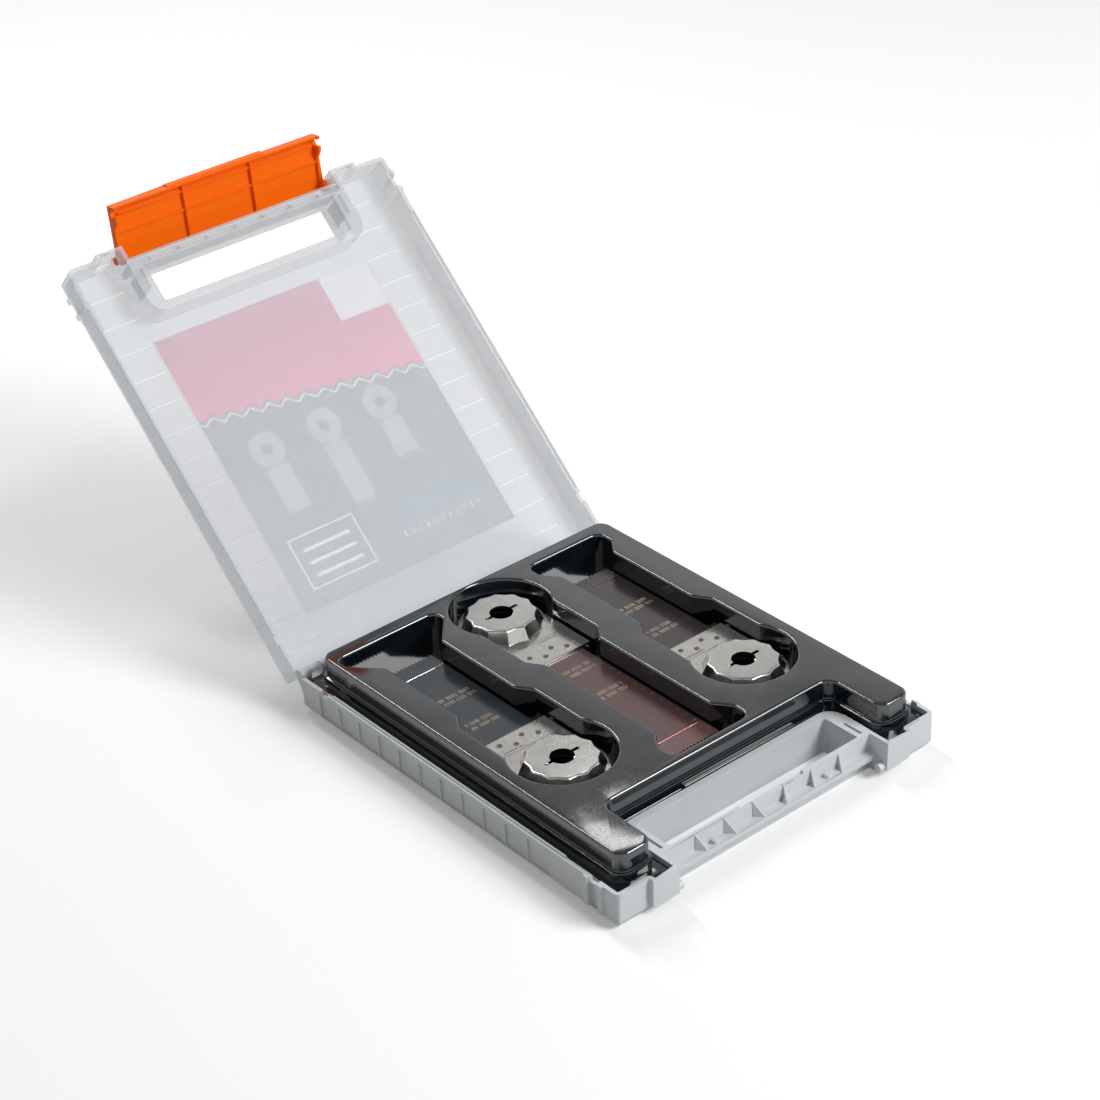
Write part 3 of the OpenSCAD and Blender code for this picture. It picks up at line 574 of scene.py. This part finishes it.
def lid_axes(finish):
    """Millimetres across the lid, from the label's edge beside the grip towards the hinge, and
    above the hinge's level, the lid being shut."""
    cosine, sine = math.cos(LID_SWING), math.sin(LID_SWING)
    hinge = (0, HINGE_Y, HINGE_Z)
    front = shut_spread("lid_label")[0]
    down = finish.along((0, cosine, sine), hinge) + (HINGE_Y - front) / MM
    return finish.x, down, finish.along((0, -sine, cosine), hinge)


def label_depths():
    """Millimetres from the hinge's level to the label's inner and outer face, the lid being shut."""
    depths = [shut_place(vertex.co.y, vertex.co.z)[1] for vertex in NODES["lid_label"].data.vertices]
    return (min(depths) - HINGE_Z) / MM, (max(depths) - HINGE_Z) / MM


# How much the lid's walls hide, and the most millimetres from the label's inner face to a face
# that it covers
LID_VEIL = 0.46
COVER_SLACK = 0.3
# Painted glow: light that each surface of the lid gives out itself, standing in for the light that its milk
# lets through
LID_PAINTED_GLOW = 0.1
# The cells of the lid's outer face, whose ribs look clearer: millimetres across to their band's
# sides, from the label's edge to the first rib, from rib to rib and over a rib
CELL_BAND = (57.0, 74.0)
CELL_START = 0.5
CELL_PITCH = 13.1
CELL_RIB = 1.0
CELL_CLEAR = 0.16


class BLADECASE_OT_label(bpy.types.Operator):
    """Prints the label's bands, blades and lines"""

    bl_idname = "bladecase.label"
    bl_label = "Label"

    def execute(self, context):
        finish = self.printed(settings()[1])
        cover(NODES["lid_label"], finish)
        return {"FINISHED"}

    def printed(self, colours):
        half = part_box("lid_label")[1].x / MM
        finish = Finish("label_print", Roughness=0.36, Specular_IOR_Level=0.35)
        across, down, depth = lid_axes(finish)
        teeth = abs(across.wrap(TOOTH_PITCH) - TOOTH_PITCH / 2) * TOOTH_STEEP
        edge = BAND_END + across * BAND_SLOPE + teeth
        band = down < edge
        line = (down > edge + BAND_LINE[0]) * (down < edge + BAND_LINE[1])
        corner = (across > half - CORNER_WIDE) * (down < CORNER_DEEP)
        tints = finish.mix(down.ramp(0.0, BAND_FADE), shaded(colours.crimson, 0.9),
                           shaded(colours.crimson, 1.15))
        picture = finish.mix(band, colours.graphite, tints)
        picture = finish.mix(either(line, corner), picture, colours.paper)
        blades = either(*(self.blade_shape(across - middle, down - SHAPE_HOLE, reach)
                          for middle, reach in SHAPES))
        picture = finish.mix(blades, picture, SHAPE_GREY)
        u, v = across - BOX_MIDDLE[0], down - BOX_MIDDLE[1]
        outline = frame_line(u, v, *BOX_HALF, BOX_LINE)
        dashes = (abs(u) < DASH_HALF[0]) * (v.wrap(DASH_PITCH) < DASH_LINE) * (abs(v) < DASH_HALF[1])
        bar = across.between(*BAR_ACROSS) * down.between(*BAR_DOWN)
        picture = finish.mix(bar, picture, colours.teal)
        ticks = across.between(*BAR_ACROSS) * down.between(*TICK_DOWN) * (across.wrap(TICK_PITCH) < TICK_LINE)
        picture = finish.mix(either(outline, dashes, ticks), picture, colours.paper)
        # The print's inner face, towards the lid, is painted paler and given a glow: painted haze and painted
        # light standing in for the light that the lid's milk scatters over it
        inward = depth < sum(label_depths()) / 2
        painted_haze_print = finish.mix(LABEL_PAINTED_HAZE, picture, (0.93, 0.93, 0.96))
        # Painted haze and painted glow on the inner face only
        finish.set(Base_Color=finish.mix(inward, picture, painted_haze_print),
                   Emission_Color=finish.mix(inward, (0.0, 0.0, 0.0), painted_haze_print), Emission_Strength=LABEL_PAINTED_GLOW)
        return finish

    def blade_shape(self, across, down, reach):
        """A mask of a plain blade, its hole at the origin and its end reach millimetres down."""
        body = (abs(across) < SHAPE_HALF) * down.between(SHAPE_NECK, reach)
        return either(ring(across, down, SHAPE_RING, SHAPE_RING_WIDE), body)


# Places on the label are millimetres across from its middle and down from its edge beside the
# grip. The colour band ends in saw teeth, with a thin line after them, and its tint changes over
# BAND_FADE
BAND_END = 44.0
BAND_SLOPE = 0.12
BAND_LINE = (1.6, 2.6)
BAND_FADE = 50.0
TOOTH_PITCH = 9.0
TOOTH_STEEP = 0.7
# The white corner
CORNER_WIDE = 26.0
CORNER_DEEP = 22.0
# The blade shapes: middle and reach of each, and what they share
SHAPES = ((-34.0, 30.0), (-4.0, 38.0), (26.0, 26.0))
SHAPE_HOLE = 62.0
SHAPE_RING = 5.4
SHAPE_RING_WIDE = 5.6
SHAPE_HALF = 5.6
SHAPE_NECK = 8.5
SHAPE_GREY = (0.42, 0.47, 0.5)
# The box with its dashes, and the bar with its ticks
BOX_MIDDLE = (-31.0, 114.0)
BOX_HALF = (17.0, 12.0)
BOX_LINE = 0.8
DASH_HALF = (12.0, 8.0)
DASH_PITCH = 6.0
DASH_LINE = 1.6
BAR_ACROSS = (2.0, 50.0)
BAR_DOWN = (107.0, 115.0)
TICK_DOWN = (119.0, 122.0)
TICK_PITCH = 4.0
TICK_LINE = 0.7
# Painted glow of the print's inner face, and how far that face is painted pale as a painted haze
LABEL_PAINTED_GLOW = 0.33
LABEL_PAINTED_HAZE = 0.76


class BLADECASE_OT_latch(bpy.types.Operator):
    """Rounds the latch's edges and gives it its orange gloss"""

    bl_idname = "bladecase.latch"
    bl_label = "Latch"

    def execute(self, context):
        sizes, colours = settings()
        finish = moulded_satin("latch_orange_gloss", colours.latch, 0.4)
        finish.shader.inputs["Specular IOR Level"].default_value = 0.12
        latch = moulding("latch", "latch_moulding")
        # The hooks' small curved facets stay as they are: rounding them would throw points off
        round_edges(latch, sizes.latch_edge, lambda a, b: (a - b).length > LATCH_FACET * MM)
        smooth(latch)
        dress(latch, finish, "latch")
        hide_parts("latch")
        return {"FINISHED"}


# The latch's edges that are no longer than this many millimetres aren't rounded
LATCH_FACET = 1.2


class BLADECASE_OT_pins(bpy.types.Operator):
    """Gives the two hinge pins their drawn steel"""

    bl_idname = "bladecase.pins"
    bl_label = "Hinge pins"

    def execute(self, context):
        steel = settings()[1].steel
        finish = Finish("pin_steel", Metallic=1.0)
        streaks = finish.noise(0.4, 2.0, (0.08, 1, 1))
        finish.set(Base_Color=finish.mix(streaks, shaded(steel, 0.8), steel),
                   Roughness=streaks.ramp(0.3, 0.7, 0.25, 0.4))
        for node in ("hinge_pin_left", "hinge_pin_right"):
            cover(NODES[node], finish)
        return {"FINISHED"}


class BLADECASE_OT_insert(bpy.types.Operator):
    """Rolls the formed lips of the insert and gives it its black gloss"""

    bl_idname = "bladecase.insert"
    bl_label = "Insert"

    def execute(self, context):
        sizes, colours = settings()
        finish = Finish("insert_black_gloss", Base_Color=(*colours.insert, 1), IOR=1.9)
        wave = finish.noise(24.0, 1.5)
        dust = finish.noise(0.9, 2.0)
        finish.set(Roughness=dust.ramp(0.45, 0.8, 0.06, 0.13))
        finish.bump(wave, 0.08)
        insert = moulding("insert_tray", "insert_forming", 0.12)
        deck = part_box("insert_tray")[1].z
        round_edges(insert, sizes.ledge_lip, lambda a, b: self.on_ledge(deck, a, b))
        round_edges(insert, sizes.deck_lip, lambda a, b: min(a.z, b.z) > deck - LEVEL_SLACK * MM, 4)
        smooth(insert)
        dress(insert, finish, "tray")
        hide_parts("insert_tray")
        return {"FINISHED"}

    def on_ledge(self, deck, *ends):
        """Whether an edge runs level along the ledge or the flange, outside the pockets."""
        first, second = (deck - end.z for end in ends)
        least, most = (drop * MM for drop in LEDGE_DROP)
        return abs(first - second) < LEVEL_SLACK * MM and least < first < most


# Millimetres below the deck between which the insert's ledge and flange lie
LEDGE_DROP = (3.0, 12.6)


def far_top(node, hole_x, hole_y, away):
    """The highest z of a node's vertices that lie farther than away from its hole."""
    return max(vertex.co.z for vertex in NODES[node].data.vertices
               if math.hypot(vertex.co.x - hole_x, vertex.co.y - hole_y) > away)


def pressed_steel(name, steel, marks=None, tint=None):
    """Bright tumbled steel, with fine scratches and, where marks says, a darker tint."""
    finish = Finish(name, Metallic=1.0)
    speckle = finish.noise(0.4, 2.0)
    cloud = finish.noise(7.0, 2.0)
    scratch = finish.noise(0.5, 2.0, (1, 0.05, 1))
    shade = finish.mix(speckle.ramp(0.35, 0.65), shaded(steel, 0.9), shaded(steel, 1.1))
    shade = finish.mix(scratch.ramp(0.5, 0.7, 0.0, 0.35), shade, shaded(steel, 1.3))
    if marks:
        shade = finish.mix(marks(finish), shade, tint)
    finish.set(Base_Color=shade, Roughness=cloud.ramp(0.3, 0.7, 0.16, 0.27))
    finish.bump(cloud, 0.006)
    return finish


class BLADECASE_OT_mounts(bpy.types.Operator):
    """Rounds and finishes the six star mounts"""

    bl_idname = "bladecase.mounts"
    bl_label = "Mounts"

    def execute(self, context):
        sizes, colours = settings()
        for place in PLACES:
            finish = pressed_steel(f"mount_steel_{place}", colours.steel,
                                   lambda finish: self.scribed(finish, place), shaded(colours.weld, 0.7))
            for level in LEVELS:
                node = f"mount_{place}_{level}"
                mount = moulding(node, f"star_mount_{place}_{level}")
                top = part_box(node)[1].z
                round_edges(mount, sizes.mount_edge, lambda a, b: max(a.z, b.z) < top - CUP_RIM * MM)
                round_edges(mount, sizes.cup_edge, lambda a, b: self.on_rim(place, top, a, b), 3)
                smooth(mount, 25)
                dress(mount, finish, f"{place}_{level}_blade")
                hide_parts(node)
        return {"FINISHED"}

    def on_rim(self, place, top, *ends):
        """Whether an edge lies on the outer rim of the cup's flat top."""
        hole_x, hole_y = mount_place(place)[:2]
        return all(end.z > top - LEVEL_SLACK * MM
                   and math.hypot(end.x - hole_x, end.y - hole_y) > CUP_INSIDE * MM for end in ends)

    def scribed(self, finish, place):
        """A scribed line across the plate and a row of short strokes beside it."""
        across, down = blade_axes(finish, place)
        line = down.between(PLATE_LINE, PLATE_LINE + PLATE_LINE_WIDE)
        row = (down - PLATE_LINE).between(*PLATE_ROW) * across.between(*PLATE_SPAN)
        strokes = row * (across.wrap(PLATE_PITCH) < PLATE_STROKE)
        return either(line, strokes) * PLATE_DARK


# Millimetres from the hole to the scribed line, over the line, from it to the strokes' two ends,
# across the plate to the row's ends, from stroke to stroke and over a stroke
PLATE_LINE = 20.4
PLATE_LINE_WIDE = 0.3
PLATE_ROW = (1.2, 2.4)
PLATE_SPAN = (-11.0, -1.0)
PLATE_PITCH = 1.3
PLATE_STROKE = 0.6
PLATE_DARK = 0.8
# Millimetres below the cup's top that the plate's rounding leaves alone, and from the hole to just
# inside the cup's outer rim
CUP_RIM = 1.0
CUP_INSIDE = 12.0


def blade_axes(finish, place):
    """Millimetres across a blade and along it from its hole."""
    hole_x, hole_y, way = mount_place(place)
    return (finish.x - hole_x / MM) * way, (finish.y - hole_y / MM) * way


class BLADECASE_OT_welds(bpy.types.Operator):
    """Adds the spot welds of the plates and the bead before each tooth strip"""

    bl_idname = "bladecase.welds"
    bl_label = "Welds"

    def execute(self, context):
        sizes, colours = settings()
        spot_steel = pressed_steel("spot_weld_steel", colours.weld)
        for place in PLACES:
            seam = shaded(colours.steel, 1.3) if place == "left" else shaded(getattr(colours, place), 3.8)
            bead_steel = pressed_steel(f"bead_steel_{place}", seam)
            for level in LEVELS:
                spots = self.spot_welds(place, level, sizes)
                bead = self.bead(place, level, sizes)
                for piece, finish in ((spots, spot_steel), (bead, bead_steel)):
                    smooth(piece, 50)
                    dress(piece, finish, f"{place}_{level}_blade")
        return {"FINISHED"}

    def spot_welds(self, place, level, sizes):
        """Four raised rings in a zigzag on the plate's front end."""
        hole_x, hole_y, way = mount_place(place)
        node = f"mount_{place}_{level}"
        top = far_top(node, hole_x, hole_y, PLATE_FAR * MM)
        low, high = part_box(node)
        end = (high.y if way > 0 else low.y) - hole_y
        rings = []
        for count, across in enumerate(SPOT_ACROSS):
            down = end - way * (SPOT_FIRST + SPOT_STEP * (count % 2)) * MM
            x, y = hole_x + way * across * MM, hole_y + down
            rings.append(self.copy_to(rings[0], x, y) if rings else self.weld_ring(x, y, top, sizes))
        bpy.ops.object.select_all(action="DESELECT")
        for piece in rings:
            piece.select_set(True)
        bpy.context.view_layer.objects.active = rings[0]
        bpy.ops.object.join()
        return new_piece(f"spot_welds_{place}_{level}")

    def weld_ring(self, x, y, top, sizes):
        """A ring with a dimple, sunk a little into its plate; its place stays in the object."""
        radius, height = sizes.weld_r * MM, sizes.weld_h * MM
        bpy.ops.object.select_all(action="DESELECT")
        bpy.ops.mesh.primitive_cylinder_add(vertices=20, radius=radius, depth=2 * height,
                                            location=(x, y, top))
        piece = bpy.context.object
        bpy.ops.object.mode_set(mode="EDIT")
        bpy.ops.mesh.select_all(action="DESELECT")
        bpy.ops.object.mode_set(mode="OBJECT")
        for polygon in piece.data.polygons:
            polygon.select = polygon.normal.z > 0.9
        bpy.ops.object.mode_set(mode="EDIT")
        bpy.ops.mesh.select_mode(type="FACE")
        bpy.ops.mesh.inset(thickness=radius * WELD_RIM)
        bpy.ops.mesh.inset(thickness=radius * WELD_SLOPE, depth=-height * WELD_DIMPLE)
        bpy.ops.object.mode_set(mode="OBJECT")
        apply_modifier(piece, "BEVEL", width=height * WELD_ROUND, segments=2, limit_method="ANGLE",
                       angle_limit=math.radians(40), use_clamp_overlap=True)
        return piece

    def copy_to(self, first, x, y):
        """A copy of a piece at another x and y."""
        piece = first.copy()
        piece.data = first.data.copy()
        piece.location = (x, y, first.location.z)
        bpy.context.collection.objects.link(piece)
        return piece

    def bead(self, place, level, sizes):
        """A low round bead over the joint between the blade and its strip."""
        strip_low, strip_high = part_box(f"teeth_{place}_{level}")
        way = mount_place(place)[2]
        joint_y = strip_low.y if way > 0 else strip_high.y
        wide = strip_high.x - strip_low.x
        foot = strip_high.z - sizes.seam_h * MM
        bpy.ops.object.select_all(action="DESELECT")
        bpy.ops.mesh.primitive_cylinder_add(
            vertices=12, radius=sizes.seam_w * MM / 2, depth=wide - SEAM_SHORT * MM,
            location=((strip_low.x + strip_high.x) / 2, joint_y, foot),
            rotation=(0, math.pi / 2, 0))
        bead = new_piece(f"weld_bead_{place}_{level}")
        bpy.ops.object.mode_set(mode="EDIT")
        bpy.ops.mesh.select_all(action="SELECT")
        bpy.ops.mesh.bisect(plane_co=(0, 0, foot), plane_no=(0, 0, 1), clear_inner=True, use_fill=True)
        bpy.ops.mesh.select_all(action="SELECT")
        squash = 2 * sizes.seam_h / (sizes.seam_w / 2)
        bpy.ops.transform.resize(value=(1, 1, squash), center_override=(0, 0, foot))
        bpy.ops.object.mode_set(mode="OBJECT")
        apply_modifier(bead, "BEVEL", width=SEAM_ROUND * MM, segments=2, limit_method="ANGLE",
                       angle_limit=math.radians(50), use_clamp_overlap=True)
        return bead


# Spot welds: millimetres across the plate, from its front end to the first, to the next row, and
# from the hole to a stretch of plate that is clear of the cup
SPOT_ACROSS = (-8.4, -2.8, 2.8, 8.4)
SPOT_FIRST = 4.0
SPOT_STEP = 3.4
PLATE_FAR = 20.0
# Shares of a ring's radius: its rim and the dimple's slope, and of its height: the dimple and the
# rounding
WELD_RIM = 0.3
WELD_SLOPE = 0.22
WELD_DIMPLE = 0.75
WELD_ROUND = 0.4
# Millimetres by which a bead is shorter than its strip is wide, and the rounding of its edges
SEAM_SHORT = 0.4
SEAM_ROUND = 0.05


class BLADECASE_OT_blades(bpy.types.Operator):
    """Coats and etches the six blades and their tooth strips"""

    bl_idname = "bladecase.blades"
    bl_label = "Blades"

    def execute(self, context):
        colours = settings()[1]
        for place in PLACES:
            coat = tuple(getattr(colours, place))
            body = self.coated(place, coat, colours.etch)
            strip = self.strip(place, coat)
            for level in LEVELS:
                cover(NODES[f"blade_{place}_{level}"], body)
                cover(NODES[f"teeth_{place}_{level}"], strip)
        return {"FINISHED"}

    def coated(self, place, coat, etch):
        """Baked coat with rolling streaks, a depth scale and blocks of etched strokes."""
        finish = Finish(f"blade_coat_{place}", IOR=1.7)
        across, down = blade_axes(finish, place)
        streak = finish.noise(1.6, 3.0, (1, 0.06, 1))
        worn = finish.noise(4.0, 3.0)
        coat_colour = finish.mix(streak, shaded(coat, 0.85), shaded(coat, 1.2))
        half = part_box(f"blade_{place}_upper")[1].x / MM - mount_place(place)[0] / MM
        scale = (across + half).between(*SCALE_SPAN) * (down.wrap(SCALE_PITCH) < SCALE_LINE) * (
            down > SCALE_START)
        strokes = (down.wrap(ROW_PITCH) < ROW_HIGH) * (
            (across + down * STROKE_SLANT).wrap(STROKE_PITCH) < STROKE_WIDE)
        groups = (across + (down / ROW_PITCH).floor() * GROUP_SHIFT).wrap(GROUP_PITCH) > GROUP_GAP
        blocks = either(*((abs(across - middle) < reach) * down.between(start, end)
                          for middle, reach, start, end in BLOCKS))
        words = strokes * groups * blocks
        etched = either(scale, words) * worn.ramp(0.3, 0.65, 0.3, 0.85)
        finish.set(Base_Color=finish.mix(etched, coat_colour, etch),
                   Roughness=streak.ramp(0.3, 0.7, 0.16, 0.24))
        return finish

    def strip(self, place, coat):
        """The blade's coat over the tooth strip, lighter and a little metallic: the lighter shade is partly
        the strip's own tone and partly a painted reflection.
        """
        finish = Finish(f"tooth_strip_{place}", IOR=1.9)
        grain = finish.noise(2.5, 3.0)
        # Lighter than the coat: partly the strip's own tone, partly painted reflection
        finish.set(Base_Color=finish.mix(grain, shaded(coat, 1.55), shaded(coat, 1.75)),
                   Roughness=grain.ramp(0.3, 0.7, 0.2, 0.3), Metallic=0.25)
        return finish


# Etched marks, in millimetres. The depth scale: from the blade's side to its lines' two ends, from
# line to line, over a line, and from the hole to its first line
SCALE_SPAN = (0.8, 2.4)
SCALE_PITCH = 5.0
SCALE_LINE = 0.3
SCALE_START = 44.0
# The strokes: from row to row and over a row, from stroke to stroke and over a stroke, their slant,
# from group to group, the gap between, and the groups' shift from row to row
ROW_PITCH = 3.4
ROW_HIGH = 2.2
STROKE_PITCH = 1.3
STROKE_WIDE = 0.7
STROKE_SLANT = 0.2
GROUP_PITCH = 6.1
GROUP_GAP = 1.1
GROUP_SHIFT = 2.3
# The blocks that the strokes fill: middle and half width across the blade, and start and end
BLOCKS = ((-1.5, 7.0, 44.2, 50.2), (1.0, 9.0, 64.6, 70.6))


class BLADECASE_PT_panel(bpy.types.Panel):
    """Lists the case's pieces and settings"""

    bl_idname = "BLADECASE_PT_panel"
    bl_label = "Blade Case"
    bl_space_type = "VIEW_3D"
    bl_region_type = "UI"
    bl_category = "Blade Case"

    def draw(self, context):
        for operator in OPERATORS:
            self.layout.operator(operator.bl_idname)
        for group in (context.scene.case_sizes, context.scene.case_colours):
            for name in group.bl_rna.properties.keys():
                if name not in ("rna_type", "name"):
                    self.layout.prop(group, name)


OPERATORS = (
    BLADECASE_OT_stage, BLADECASE_OT_base, BLADECASE_OT_lid, BLADECASE_OT_label, BLADECASE_OT_latch,
    BLADECASE_OT_pins, BLADECASE_OT_insert, BLADECASE_OT_mounts, BLADECASE_OT_welds, BLADECASE_OT_blades,
)
CLASSES = (CaseSizes, CaseColours, *OPERATORS, BLADECASE_PT_panel)


def register():
    for cls in CLASSES:
        bpy.utils.register_class(cls)
    bpy.types.Scene.case_sizes = PointerProperty(type=CaseSizes)
    bpy.types.Scene.case_colours = PointerProperty(type=CaseColours)


def unregister():
    del bpy.types.Scene.case_sizes
    del bpy.types.Scene.case_colours
    for cls in reversed(CLASSES):
        bpy.utils.unregister_class(cls)


def main():
    register()
    for operator in OPERATORS:
        group, name = operator.bl_idname.split(".")
        getattr(getattr(bpy.ops, group), name)()


if __name__ == "__main__":
    main()
